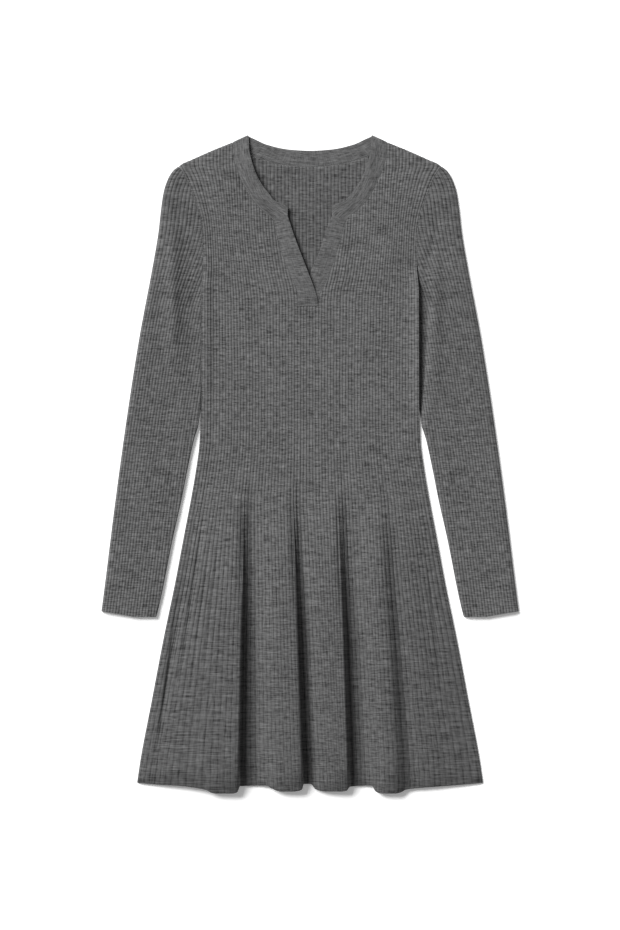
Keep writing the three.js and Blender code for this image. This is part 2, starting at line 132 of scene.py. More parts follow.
# The points one row or column in from that border, in the same order
def besideBorder(grid):
    return np.concatenate([grid[1, :-1], grid[:-1, -2], grid[-2, :0:-1], grid[:0:-1, 1]])


# Turns every face round if the closed mesh's signed volume is negative, so that faces point outwards
def facingOut(points, quads):
    a, b, c, d = (points[quads[:, i]] for i in range(4))
    volume = np.einsum("ij,ij->", a, np.cross(b, c)) + np.einsum("ij,ij->", a, np.cross(c, d))
    return quads if volume > 0 else quads[:, ::-1]


# Mesh object from points in millimetres, quads and each point's place in the cloth in millimetres
def clothObject(name, points, quads, cloth, material):
    quads = facingOut(points, quads)
    mesh = bpy.data.meshes.new(name)
    mesh.vertices.add(len(points))
    mesh.vertices.foreach_set("co", (points * mm).ravel())
    mesh.loops.add(quads.size)
    mesh.loops.foreach_set("vertex_index", quads.ravel())
    mesh.polygons.add(len(quads))
    mesh.polygons.foreach_set("loop_start", np.arange(0, quads.size, 4))
    mesh.update(calc_edges=True)
    places = mesh.uv_layers.new(name="cloth")
    places.data.foreach_set("uv", (cloth[quads.ravel()] * mm).ravel())
    mesh.polygons.foreach_set("use_smooth", np.ones(len(quads), bool))
    mesh.materials.append(material)
    mesh.validate()
    piece = bpy.data.objects.new(name, mesh)
    bpy.context.scene.collection.objects.link(piece)
    return piece


# Rows of points between an outer and an inner border: a half circle round the middle of the wall
def rimPoints(outer, inner):
    edgeOut, edgeIn = borderLoop(outer), borderLoop(inner)
    middle = (edgeOut + edgeIn) / 2
    half = (edgeOut - edgeIn) / 2
    beyond = middle - (besideBorder(outer) + besideBorder(inner)) / 2
    square = (half * half).sum(-1, keepdims=True)
    beyond = beyond - half * (beyond * half).sum(-1, keepdims=True) / square
    beyond = beyond / np.linalg.norm(beyond, axis=-1, keepdims=True) * np.sqrt(square)
    angles = np.pi * np.arange(1, knit["rimRows"] + 1) / (knit["rimRows"] + 1)
    return [middle + np.cos(a) * half + np.sin(a) * beyond for a in angles]


# Closed sheet of cloth from an outer and an inner grid of points, with a round rim all the way round
def sheetObject(name, outer, inner, cloth, material):
    count = outer.shape[0] * outer.shape[1]
    outerIds = np.arange(count).reshape(outer.shape[:2])
    innerIds = outerIds + count
    rim = rimPoints(outer, inner)
    loops = [borderLoop(outerIds)]
    for row in range(len(rim)):
        loops.append(2 * count + row * len(loops[0]) + np.arange(len(loops[0])))
    loops.append(borderLoop(innerIds))
    closed = np.array([np.append(loop, loop[0]) for loop in loops])
    points = np.concatenate([outer.reshape(-1, 3), inner.reshape(-1, 3), *rim])
    places = cloth.reshape(-1, 2)
    places = np.concatenate([places, places] + [borderLoop(cloth)] * len(rim))
    quads = np.concatenate([gridQuads(outerIds), gridQuads(innerIds)[:, ::-1], gridQuads(closed)[:, ::-1]])
    return clothObject(name, points, quads, places, material)


# Body of the dress: one set of outlines for the front and the back
body = {
    "hem": -430,
    "foldStart": -47,
    "underarm": 268,
    "rowsTurn": 206,       # below it rows run straight across, above it they follow each column to its end
    "seamGap": 0.15,
    "sideSeam": [(-430, 233.5), (-398, 228.8), (-317, 213.3), (-236, 197.8), (-155, 180.9), (-101, 170.8),
                 (-47, 160.5), (-7, 153.6), (34, 148.5), (68, 147.8), (236, 147.2), (270, 144.5),
                 (310, 145.5), (333, 148.5), (352, 154), (373, 161.5), (390, 169), (403, 177.5)],
    "shoulder": [(83.7, 445.4), (105.3, 435.2), (129.6, 425.3), (145.8, 418.2), (162, 411), (170, 407.6),
                 (177.5, 403)],
    "neckSeam": [(50, 331.4), (64.8, 344.2), (78.3, 359.5), (89.8, 380.3), (97.5, 397.3), (102.6, 414.5),
                 (104.6, 434.8)],
    "leftPlacketSeam": [(-15.9, 214.7), (-16.2, 228.8), (-29.3, 263.2), (-42.5, 301.1)],
    "rightPlacketSeam": [(10.9, 214.7), (11.2, 225), (16.2, 234.5), (29.4, 266.6), (40.9, 300.8)],
    "backNeckSeam": [(0, 402.6), (31.1, 404.6), (64.8, 412.4), (90.5, 423), (103.7, 433.8)],
    # How far the ribs lean out at each height, and how much further past the share sideFrom across
    "notchSpread": [(222, 0), (235, 1.5), (264, 9), (332, 18), (445, 20)],
    "sideSpread": [(130, 0), (215, 3.5), (264, 5), (332, 6), (445, 5)],
    "sideFrom": 0.13,
    "sideReach": 0.5,
    "leanPower": 1.4,      # the lean fades towards the side seams, the higher the later
    "armholePower": 4,     # the armhole's curve draws on the ribs near it alone, the higher the nearer
    "neckCorner": 1.6,     # the back neck runs this far past its last point
    "scanTop": 446,        # columns' ends are looked for up to here in scanRows steps, then by halving
    "scanRows": 481,
    "halvings": 14,
}
halfWidth = tableCurve(body["sideSeam"])
underarmHalf = halfWidth(body["underarm"])
shoulderAt = tableCurve(body["shoulder"])
spreadAt = tableCurve(body["notchSpread"])
sideSpreadAt = tableCurve(body["sideSpread"])
backNeckAt = tableCurve(body["backNeckSeam"])
footHeight = body["leftPlacketSeam"][0][1]
leftOpeningAt = tableCurve([(y, -x) for x, y in body["leftPlacketSeam"]]
                           + [(y, x) for x, y in body["neckSeam"]])
rightOpeningAt = tableCurve([(y, x) for x, y in body["rightPlacketSeam"] + body["neckSeam"]])


# Half width of the neck and its notch on either side
def openingAt(x, y):
    return np.where(x < 0, leftOpeningAt(y), rightOpeningAt(y))


# Skirt folds, left to right: place across where the folds start, place across at the hem, height there
skirt = {
    "folds": [
        (-160.5, -233.5, 0), (-154, -224, 2.6), (-142, -205, 6), (-135, -194, 8.5), (-126, -175, 12.5),
        (-116, -150, 16), (-107, -128, 18.8), (-98, -110, 20.8), (-91.5, -98.6, 21.6), (-89.5, -95.8, 20),
        (-87.6, -93.2, 1.2), (-86, -91, 0.2),
        (-75.5, -73.5, 0.2), (-69, -64.5, 4.6), (-62.5, -56.5, 9.6), (-57, -49.5, 13.9), (-49, -39, 18),
        (-37, -26, 20.6), (-26, -13.4, 21.8), (-23.4, -10, 20), (-21.3, -7.4, 1), (-19.8, -5.4, 0.1),
        (-12.4, 3.9, 0.1), (-10.4, 6.2, 2.4), (-7.5, 9.8, 7), (-3.5, 15, 11.2), (3, 22.5, 15.2),
        (12, 30.5, 18.4), (24, 39.5, 20.5), (36.5, 49, 21), (39.4, 52, 18.6), (42, 55.6, 1.2),
        (44, 58.2, 0.2),
        (54.5, 71.5, 0.3), (61, 79.7, 3.8), (67, 86.5, 8.8), (75, 94.3, 14.4), (83.5, 101, 18.5),
        (91, 112, 19.6), (95.5, 118, 18), (103, 131, 8.5), (106, 136, 6.6), (110, 142, 6.8),
        (116, 151, 8.5), (125, 165, 8.5), (137, 185, 6), (148, 205, 3.4), (154.5, 220, 1.4),
        (160.5, 233.5, 0),
    ],
    # Share of the folds' height at the hem that is left at each height
    "growth": [(-430, 1), (-317, 0.92), (-236, 0.84), (-155, 0.72), (-101, 0.55), (-64, 0.34), (-36, 0.14),
               (0, 0)],
    # Place across at the hem, and height of the hem there: the crests reach lower
    "hemLine": [
        (-233.5, -429), (-201, -431.5), (-174, -433), (-154, -435.5), (-140, -438.5), (-134, -442),
        (-127, -443), (-107, -443), (-99.5, -441.5), (-94.5, -433.5), (-59, -432.5), (-52, -436.5),
        (-46, -439), (-39, -440.3), (-25, -440.3), (-17, -439.5), (-11.5, -437.5), (-8, -430.5),
        (1, -430.5), (7, -437.5), (21, -440.3), (42, -440.3), (49, -439.3), (54.5, -434), (83, -432.5),
        (89, -440.5), (96, -443), (116, -443), (123, -441.5), (130, -438), (150, -435.5), (184, -433),
        (204, -431.5), (233.5, -429),
    ],
    "softOver": 7,         # the folds start soft, as if smoothed over this far each way
    "softSteps": 7,
    "softUntil": (-50, -250),
    "droop": 0.58,         # share of its height that the cloth loses along the hem
    "droopReach": 30,
    "wallColumns": 16,     # extra columns in each steep side of a fold
    "steepSides": [(-153, -136), (-92, -85), (-26, -19), (-15, -4), (36, 45)],
}
foldPlaces, hemPlaces, foldRises = zip(*skirt["folds"])
foldSpan = foldPlaces[-1]
hemPlaceAt = smoothCurve(foldPlaces, hemPlaces)
riseAt = smoothCurve(foldPlaces, foldRises)
growthAt = tableCurve(skirt["growth"])
hemLineAt = tableCurve(skirt["hemLine"])


# Height of the folds: the profile at the hem, averaged over a few millimetres near the folds' start
def foldsAt(place, y):
    sharp = riseAt(place)
    steps = np.linspace(-1, 1, skirt["softSteps"]) * skirt["softOver"]
    soft = sum(riseAt(place + step) for step in steps) / len(steps)
    start, end = skirt["softUntil"]
    return mixed(soft, sharp, smoothStep((start - y) / (start - end))) * growthAt(y)


# Place across: share of the half width, leaning out beside the notch and drawn to the folds in the skirt
def placeAcross(share, y, folded):
    side = np.sign(share)
    depth = np.abs(share)
    beside = smoothStep((depth - body["sideFrom"]) / body["sideReach"])
    spread = spreadAt(y) + sideSpreadAt(y) * beside
    lean = side * spread * (1 - depth ** body["leanPower"]) if folded else 0
    widening = (halfWidth(y) - underarmHalf) * depth ** body["armholePower"]
    above = side * (depth * underarmHalf + widening) + lean
    below = share * halfWidth(y) + lean
    if folded:
        gathered = hemPlaceAt(share * foldSpan) - share * halfWidth(body["hem"])
        reach = np.clip((body["foldStart"] - y) / (body["foldStart"] - body["hem"]), 0, None)
        below = below + gathered * reach
    return np.where(y >= body["underarm"], above, below)


# Height where each column of the cloth meets the panel's end: first height past it, then halving
def columnEnds(shares, isPast, folded):
    heights = np.linspace(body["rowsTurn"], body["scanTop"], body["scanRows"])[:, None]
    past = isPast(placeAcross(shares, heights, folded), heights)
    first = past.argmax(0)
    high = heights[first, 0]
    low = heights[np.maximum(first - 1, 0), 0]
    for _ in range(body["halvings"]):
        middle = (low + high) / 2
        isHigh = isPast(placeAcross(shares, middle, folded), middle)
        high = np.where(isHigh, middle, high)
        low = np.where(isHigh, low, middle)
    return high


# Whether a place is past the front's end: in the notch or the neck, or over the shoulder
def pastFront(x, y):
    away = np.abs(x)
    inOpening = (y >= footHeight - body["seamGap"]) & (away <= openingAt(x, y) + body["seamGap"])
    return inOpening | (y >= shoulderAt(away) - body["seamGap"])


# The same for the back, which has no notch
def pastBack(x, y):
    away = np.abs(x)
    corner = body["backNeckSeam"][-1][0] + body["neckCorner"]
    end = np.where(away >= corner, shoulderAt(away), backNeckAt(away))
    return y >= end - body["seamGap"]


# Normals across the body of a grid of points: its cross sections' own, turned upwards
def sectionNormals(x, z):
    alongX = np.gradient(x, axis=1)
    alongZ = np.gradient(z, axis=1)
    length = np.hypot(alongX, alongZ)
    return -alongZ / length, alongX / length


# Front panel
front = {
    "ribs": 74,
    "rowsBelow": 54,
    "rowsAbove": 32,
    "inside": 1.9,
    "puff": 0.5,
    "ribsAtHem": 0.35,     # the ribs are stretched shallower towards the hem
    "ribsGrow": (-400, -100),
    "rollShare": 0.036,    # share of the half width that turns down at the side seams
    "rollLow": 1.2,
    "endDip": 0.15,
    "endReach": 3.5,
    # How much of the full turn the edges make at each height: the sleeves hold them up above the waist
    "rollLeft": [(30, 1), (95, 0.1), (300, 0.15)],
    "rollRight": [(30, 1), (70, 0.3), (300, 0.2)],
    # From x, y to x, y, width, height; troughs have a height below 0
    "creases": [
        (-138, 20, -112, 92, 9, -0.7), (-96, -30, -128, 66, 12, 0.6), (104, 34, 136, 118, 10, -0.6),
        (58, -12, 92, 48, 13, 0.5), (-40, 60, 34, 74, 11, -0.45), (-112, 168, -70, 236, 14, 0.6),
        (66, 176, 118, 250, 13, -0.6), (-132, 232, -96, 300, 9, -0.6), (92, 262, 136, 310, 10, 0.5),
        (-60, 350, -108, 402, 12, -0.5), (118, 372, 136, 400, 13, 0.45), (-24, 120, 18, 196, 15, 0.4),
        (149, 296, 149, 40, 10, 7.6), (-139, 330, -139, 40, 7, 2.1),
        (-150, 20, -212, -430, 2.6, -4.2), (-144, 20, -203, -390, 2.6, -3.6),
        (-138, -40, -180, -310, 2.4, -2.6), (-131, -70, -163, -320, 2.2, -1.7),
        (-122, -90, -147, -300, 2.2, -1.2), (157, -120, 181, -330, 3, -1.5),
    ],
}


# Grid by share across and share up: rows run straight up to rowsTurn, then on to each column's end.
# The face is the inside's height and the wall, with the puff, folds and creases added and the droop and
# the dip at the end taken off. The ribs stand off it, and the inner face lies under it, along the normals
def makeFront(material):
    roll = front["rollShare"]
    stretch = 1 / (1 - roll * (1 - 2 / np.pi))
    corners = [(x + s * body["seamGap"]) / halfWidth(footHeight) / stretch
               for x, s in ((body["leftPlacketSeam"][0][0], -1), (body["rightPlacketSeam"][0][0], 1))]
    count = front["ribs"] * knit["pointsPerRib"]
    steep = [np.linspace(a, b, skirt["wallColumns"]) / foldSpan / stretch for a, b in skirt["steepSides"]]
    share = np.sort(np.concatenate([np.linspace(-1, 1, count + 1), corners, *steep]))[None, :]

    # The outermost cloth turns down: its share of the width follows a cosine and its height a sine
    turn = np.clip((1 - np.abs(share)) / roll, 0, 1) * np.pi / 2
    turned = 1 - 2 * roll * stretch / np.pi * (1 - np.cos(turn))
    across = np.sign(share) * np.where(turn < np.pi / 2, turned, np.abs(share) * stretch)

    hem = hemLineAt(hemPlaceAt(across * foldSpan)) + knit["wall"] / 2
    end = columnEnds(across[0], pastFront, True)[None, :] - knit["wall"] / 2
    below = np.linspace(0, 1, front["rowsBelow"] + 1)[:, None]
    above = np.linspace(0, 1, front["rowsAbove"] + 1)[1:, None]
    y = np.concatenate([hem + (body["rowsTurn"] - hem) * below,
                        body["rowsTurn"] + (end - body["rowsTurn"]) * above])
    x = placeAcross(across, y, True)

    top = front["inside"] + knit["wall"] + front["puff"] * (1 - across ** 4)
    droop = skirt["droop"] * (1 - smoothStep((y - hem) / skirt["droopReach"])) ** 2
    top = top + foldsAt(across * foldSpan, y) * (1 - droop) + creaseRelief(x, y, front["creases"])
    top = np.maximum(top, front["inside"] + knit["wall"])
    top = top - front["endDip"] * (1 - np.clip((end - y) / front["endReach"], 0, 1)) ** 2
    hold = np.where(x < 0, tableCurve(front["rollLeft"])(y), tableCurve(front["rollRight"])(y))
    plain = top - (top - front["rollLow"]) * hold * (1 - np.sin(turn))
    x = x - np.sign(share) * knit["wall"] / 2 * (1 - hold) * np.cos(turn)

    nx, nz = sectionNormals(x, plain)
    ribs = (share + 1) / 2 * front["ribs"]
    low, high = front["ribsGrow"]
    growth = smoothStep((y - low) / (high - low))
    rib = knit["ribHeight"] * ribShape(ribs) * mixed(front["ribsAtHem"], 1, growth)
    outer = np.stack([x + nx * rib, y, plain + nz * rib], -1)
    inner = np.stack([x - nx * knit["wall"], y, plain - nz * knit["wall"]], -1)
    cloth = np.stack([np.broadcast_to(ribs * knit["ribPitch"], y.shape), y - body["hem"]], -1)
    return sheetObject("frontPanel", outer, inner, cloth, material)


# Back panel, flat on the surface
back = {
    "ribs": 60,
    "rowsBelow": 26,
    "rowsAbove": 40,
    "hemTuck": 3,
    "edgeInset": 1.1,      # how far inside the front's sides it lies, and how much further below the arms
    "sideInset": 3,
    "sideInsetEnds": (250, 280),
    "face": 1.1,
    "faceNearNeck": 1.3,
    "faceRises": (200, 215),
    "insideRib": 0.5,
    "underRib": 0.4,
}


# Grid like the front's, without its folds: the upper face has the ribs of the cloth's inside, and the
# under face rises in the furrows and touches the surface on the ribs
def makeBack(material):
    share = np.linspace(-1, 1, back["ribs"] * knit["pointsPerRib"] + 1)[None, :]
    hem = body["hem"] + back["hemTuck"] + knit["wall"] / 2
    end = columnEnds(share[0], pastBack, False)[None, :] - knit["wall"] / 2
    below = np.linspace(0, 1, back["rowsBelow"] + 1)[:, None]
    above = np.linspace(0, 1, back["rowsAbove"] + 1)[1:, None]
    y = np.concatenate([np.broadcast_to(hem + (body["rowsTurn"] - hem) * below, (len(below), share.size)),
                        body["rowsTurn"] + (end - body["rowsTurn"]) * above])
    low, high = back["sideInsetEnds"]
    inset = back["sideInset"] * (1 - smoothStep((y - low) / (high - low))) + back["edgeInset"]
    x = placeAcross(share, y, False) * (1 - inset / halfWidth(y))
    ribs = (share + 1) / 2 * back["ribs"]
    rib = ribShape(ribs)
    low, high = back["faceRises"]
    level = back["face"] + (back["faceNearNeck"] - back["face"]) * smoothStep((y - low) / (high - low))
    upper = np.stack([x, y, level + back["insideRib"] * rib], -1)
    under = np.stack([x, y, np.broadcast_to(back["underRib"] * (1 - rib), y.shape)], -1)
    cloth = np.stack([np.broadcast_to(ribs * knit["ribPitch"], y.shape), y - body["hem"]], -1)
    return sheetObject("backPanel", upper, under, cloth, material)


# Sleeves, laid beside the body; places are those of the right one, mirrored for the left
sleeve = {
    "rows": 100,
    "outerEdge": [(-214, 283.8), (-191.7, 280.8), (-155.3, 276.1), (-47.3, 262.6), (60.8, 247.7),
                  (168.8, 230.9), (270, 212), (314.6, 204.5), (344.3, 201.2), (367.2, 197.8), (386.1, 191.7),
                  (397.6, 184.4), (402.4, 178.4)],
    "innerEdge": [(-214, 209.7), (-182.3, 201.8), (-101.3, 185.6), (-47.3, 173.5), (6.8, 162.7),
                  (33.8, 156.6), (60, 149.2), (90, 146.6), (236, 146), (268, 143.8)],
    "cuffHeight": -198.4,
    "cuffSlope": 0.1625,
    "cuffBend": 46,
    "armholeGap": -0.35,   # the sleeve's head reaches just under the body's rim
    "height": 5.6,
    "heightAtArmhole": 4.0,
    "armholeReach": 70,
    "edgeHeight": 2.1,
    "foldReach": 12,       # how soon the inner fold's own height gives way to the outer edge's
    "edgeRound": 8,
    "innerRoundLeft": 1.5,
    "innerRoundRight": 9,
    "underRound": 2.4,
    "armholeDip": 0.15,
    "dipReach": 3,
    "creaseFade": 30,
    "underRib": 0.4,
    "underRibFade": 3,
    "bend": 24,            # how far the ribs at the bend's depth lean into the armhole
    "bendDepth": 75,
    "bendGrows": (205, 335),
    "scanDepth": 110,      # further from the outer edge than any column lies
    "scanRows": 1500,
    "leastRows": 12,       # columns shorter than this many of the scan's rows are left out
    "slotFade": 8,         # the hollow widens to the armhole from this far below the underarm to as far above
    "leastHollow": 0.05,
    "patternShift": 400,   # moves the yarn's pattern on, so that it isn't the front's
    "mergeWithin": 0.0001,
    # Height of the edge beside the body, and width of the sunk strip along it, by height on the dress
    "innerHeightLeft": [(-214, 2.1), (20, 2.1), (90, 2.3), (268, 2.6)],
    "innerHeightRight": [(-214, 2.1), (40, 2.1), (90, 1.1), (238, 1.1), (268, 2.5)],
    "shelfLeft": [(-214, 0), (268, 0.01)],
    "shelfRight": [(60, 0), (75, 3.5), (110, 7), (150, 10), (200, 13), (226, 12), (242, 3), (252, 0.5),
                   (300, 0)],
    # Each as in the front's creases
    "creasesLeft": [(-161, 345, -158, 60, 11, -2.1), (-187, 355, -184, 110, 10, 4.6),
                    (-186, 120, -214, -60, 12, -0.8), (-214, 250, -222, 110, 10, 0.6),
                    (-238, 40, -246, -70, 8, -0.6), (-190, -40, -226, -60, 10, 0.7),
                    (-228, -150, -252, -178, 9, -0.6)],
    "creasesRight": [(167, 330, 170, 50, 9, 2.8), (180, 352, 152, 248, 5.5, -2.2),
                     (196, 160, 214, 20, 12, -0.7), (176, 60, 206, 30, 9, 0.6),
                     (232, 60, 252, -80, 9, -0.6), (206, -70, 232, -120, 10, 0.7),
                     (222, -150, 258, -172, 9, -0.5)],
}


# Grid by depth from the outer edge and share of each column's length. A column is as high as the
# distances from both long edges and the armhole let it be: each edge turns over in a quarter ellipse
def makeSleeve(name, side, material):
    outerEdgeAt = tableCurve(sleeve["outerEdge"])
    innerEdgeAt = tableCurve(sleeve["innerEdge"])
    isLeft = side < 0
    innerHeightAt = tableCurve(sleeve["innerHeightLeft" if isLeft else "innerHeightRight"])
    shelfAt = tableCurve(sleeve["shelfLeft" if isLeft else "shelfRight"])
    underarm = body["underarm"]
    tip = sleeve["outerEdge"][-1][0]

    def boundaryAt(y):
        return np.where(y > underarm, halfWidth(y) + sleeve["armholeGap"], innerEdgeAt(y))

    # A column keeps its distance from the outer edge and leans towards the body near the armhole
    def columnAt(depth, y):
        low, high = sleeve["bendGrows"]
        lean = sleeve["bend"] * depth / sleeve["bendDepth"] * smoothStep((y - low) / (high - low))
        return outerEdgeAt(y) - depth - lean

    spacing = knit["ribPitch"] / knit["pointsPerRib"]
    depth = np.arange(0, sleeve["scanDepth"], spacing)[None, :]
    cuff = sleeve["cuffHeight"] - sleeve["cuffSlope"] * np.minimum(depth, sleeve["cuffBend"])
    scan = np.linspace(0, 1, sleeve["scanRows"])[:, None]
    heights = cuff + (tip - cuff) * scan
    room = columnAt(depth, heights) - boundaryAt(heights)
    kept = (room > 0).sum(0) > sleeve["leastRows"]
    depth, cuff, heights, room = depth[:, kept], cuff[:, kept], heights[:, kept], room[:, kept]
    columns = np.arange(depth.size)
    first = (room > 0).argmax(0)
    last = len(scan) - 1 - (room > 0)[::-1].argmax(0)

    # Where a column crosses the boundary, between the heights before and after
    def crossing(i, j):
        t = room[i, columns] / (room[i, columns] - room[j, columns])
        return heights[i, columns] + t * (heights[j, columns] - heights[i, columns])

    fromCuff = first == 0
    start = np.where(fromCuff, cuff[0] + knit["wall"] / 2, crossing(first, np.where(fromCuff, 1, first - 1)))
    atTip = last == len(scan) - 1
    end = np.where(atTip, tip, crossing(last, np.where(atTip, last - 1, last + 1)))
    toArmhole = end > underarm
    share = (1 - np.cos(np.pi * np.linspace(0, 1, sleeve["rows"] + 1)))[:, None] / 2
    y = start + (end - start) * share
    x = columnAt(depth, y)

    # Heights: full in the middle, turned over both long edges, lower towards the armhole
    fold = boundaryAt(np.minimum(y, underarm))
    fromFold = np.hypot(np.maximum(x - fold, 0), np.maximum(y - underarm, 0))
    onFold = np.zeros(y.shape, bool)
    onFold[0] = ~fromCuff
    onFold[-1] = ~toArmhole
    onFold[:, -1] = True
    fromFold = np.where(onFold, 0, fromFold)
    armhole = boundaryAt(np.maximum(y, underarm))
    fromArmhole = np.hypot(np.maximum(x - armhole, 0), np.maximum(underarm - y, 0))
    nearFold = np.exp(-fromFold / sleeve["foldReach"])
    rest = innerHeightAt(y) * nearFold + sleeve["edgeHeight"] * (1 - nearFold)
    outerTurn = roundOver(depth / sleeve["edgeRound"])
    innerRound = sleeve["innerRoundLeft" if isLeft else "innerRoundRight"]
    full = outerTurn * roundOver((fromFold - shelfAt(y)) / innerRound)
    height = sleeve["heightAtArmhole"] + (sleeve["height"] - sleeve["heightAtArmhole"]) * smoothStep(
        fromArmhole / sleeve["armholeReach"])
    relief = creaseRelief(x * side, y, sleeve["creasesLeft" if isLeft else "creasesRight"])
    top = rest + (height - rest + relief * smoothStep(fromArmhole / sleeve["creaseFade"])) * full
    top = top - sleeve["armholeDip"] * (1 - np.clip(fromArmhole / sleeve["dipReach"], 0, 1)) ** 2 * full
    under = rest * (1 - roundOver(depth / sleeve["underRound"]) * roundOver(fromFold / sleeve["underRound"]))
    rib = ribShape(depth / knit["ribPitch"])
    underRib = sleeve["underRib"] * (1 - rib) * np.clip(depth / sleeve["underRibFade"], 0, 1)
    underRib = underRib * np.clip(fromFold / sleeve["underRibFade"], 0, 1)
    outerTop = np.stack([x, y, top + knit["ribHeight"] * rib * full], -1)
    outerUnder = np.stack([x, y, under + underRib], -1)

    # Inside faces, drawn in by the wall from both long edges, but from the outer one alone at the armhole
    fade = sleeve["slotFade"]
    inset = (knit["wall"] + shelfAt(y)) * (1 - smoothStep((y - underarm + fade) / (2 * fade)))
    bound = boundaryAt(y)
    width = outerEdgeAt(y) - bound
    slot = bound + inset + (x - bound) * (width - inset - knit["wall"]) / np.maximum(width, 1)
    ceiling = np.minimum(top, rest + (height - rest) * full) - knit["wall"]
    bottom = np.minimum(knit["wall"], rest - sleeve["leastHollow"])
    spread = outerTurn * roundOver(fromFold / innerRound)
    innerTop = np.stack([slot, y, rest + (np.maximum(ceiling, rest) - rest) * spread], -1)
    innerUnder = np.stack([slot, y, rest + (bottom - rest) * spread], -1)

    grids = [grid[:, ::-1] * np.array([side, 1, 1]) for grid in (outerTop, outerUnder, innerTop, innerUnder)]
    count = y.size
    ids = [np.arange(count).reshape(y.shape) + i * count for i in range(4)]
    cuffColumns = int(fromCuff.sum()) + 1
    armColumns = int(toArmhole.sum()) + 1
    quads = [gridQuads(ids[0]), gridQuads(ids[1])[:, ::-1], gridQuads(ids[2])[:, ::-1], gridQuads(ids[3])]
    for a, b, turn in ((0, 2, 1), (1, 3, -1)):
        cuffRim = np.stack([ids[b][0, -cuffColumns:], ids[a][0, -cuffColumns:]])
        armRim = np.stack([ids[a][-1, -armColumns:], ids[b][-1, -armColumns:]])
        quads += [gridQuads(cuffRim)[:, ::turn], gridQuads(armRim)[:, ::turn]]
    flat = np.stack([np.broadcast_to(depth, y.shape), y - body["hem"] + sleeve["patternShift"]], -1)
    flat = flat[:, ::-1].reshape(-1, 2)
    cloth = np.concatenate([flat, flat * [-1, 1], flat, flat * [-1, 1]])
    points = np.concatenate([grid.reshape(-1, 3) for grid in grids])
    piece = clothObject(name, points, np.concatenate(quads), cloth, material)

    # The top and the underside meet along the long edges, so their points there are merged
    shape = bmesh.new()
    shape.from_mesh(piece.data)
    bmesh.ops.remove_doubles(shape, verts=shape.verts, dist=sleeve["mergeWithin"] * mm)
    shape.to_mesh(piece.data)
    shape.free()
    return piece


# Neckband and plackets: plain knit strips
band = {
    "thickness": 1.6,
    "footThickness": 1.1,
    "tuck": 0.9,           # how far the strips reach under the front's rim
    "swell": 0.3,
    "squareness": 0.4,     # power of the cosine and sine: 1 is an ellipse, 0 a rectangle
    "frontMiddle": 3.5,
    "backMiddle": 0.8,
    "placketMiddle": 3.4,
    "rightFoot": 2.4,
    "leftFoot": 4.1,
    "footReach": 0.4,
    "topGap": 0.05,
    "frontSteps": 60,
    "foldSteps": 9,
    "backSteps": 90,
    "placketSteps": 64,
    # How far the free edges stand up, by share of the way up each strip
    "neckLiftLeft": [(0, 3.9), (0.5, 4.4), (0.85, 3.6), (1, 0)],
    "neckLiftRight": [(0, 1), (0.6, 1.8), (0.9, 2.6), (1, 1.2)],
    "placketLiftLeft": [(0, 0), (0.14, 0.1), (0.22, 2.4), (0.5, 3.8), (1, 4.3)],
    "placketLiftRight": [(0, 0), (1, 1)],
    "lapEnd": 0.27,        # the plackets lie on each other up to this share, and are free past the next
    "lapFree": 0.72,
    "pointsAcross": 32,
    "neckEdge": [(30, 336), (29.6, 347), (33, 351), (46.3, 356), (57.6, 369), (67.1, 382.2), (73.6, 395.6),
                 (79, 411.8), (82.2, 429.3), (82.8, 443.4)],
    "backNeckEdge": [(0, 424.2), (28.4, 425.9), (58.1, 432.4), (76, 440.4), (82.8, 443.4)],
    "leftPlacketEdge": [(11.2, 214.7), (10, 224), (8, 232), (5.7, 239), (-6.6, 271), (-19.7, 305.5),
                        (-30, 335.95)],
    "rightPlacketEdge": [(-14.2, 214.7), (-9, 231), (1.1, 261), (12.4, 287.6), (22.8, 319.7), (29.6, 335.95)],
}


# Strip carried along sections from a seam point to an edge point: its outline is a rounded rectangle,
# a power of the cosine across and of the sine along the outward side
def stripObject(name, seam, edge, out, thickness, alongFirst, material):
    angle = 2 * np.pi * (np.arange(band["pointsAcross"]) + 0.5) / band["pointsAcross"]
    across = np.sign(np.cos(angle)) * np.abs(np.cos(angle)) ** band["squareness"]
    lift = np.sign(np.sin(angle)) * np.abs(np.sin(angle)) ** band["squareness"]
    middle = ((seam + edge) / 2)[:, None, :]
    reach = ((edge - seam) / 2)[:, None, :]
    swell = band["swell"] * (1 - across ** 2) * np.clip(lift, 0, 1)
    raised = np.maximum(out[:, 2:], 0) * swell + thickness / 2 * lift
    rings = middle + across[:, None] * reach + raised[..., None] * out[:, None, :]
    steps = np.linalg.norm(np.diff(middle[:, 0], axis=0), axis=1)
    along = np.concatenate([[0], np.cumsum(steps)])
    width = np.linalg.norm(edge - seam, axis=1)
    ids = np.arange(rings.shape[0] * rings.shape[1]).reshape(rings.shape[:2])
    closed = np.concatenate([ids, ids[:, :1]], 1)
    quads = [gridQuads(closed)]
    half = np.arange(band["pointsAcross"] // 2 - 1)
    for ring, turn in ((ids[0], 1), (ids[-1], -1)):
        cap = np.stack([ring[half], ring[-1 - half], ring[-2 - half], ring[half + 1]], -1)
        quads.append(cap[:, ::turn])
    cloth = np.stack([(across[None, :] + 1) / 2 * width[:, None],
                      np.broadcast_to(along[:, None], rings.shape[:2])], -1)
    cloth = cloth[..., ::-1] if alongFirst else cloth
    return clothObject(name, rings.reshape(-1, 3), np.concatenate(quads), cloth.reshape(-1, 2), material)


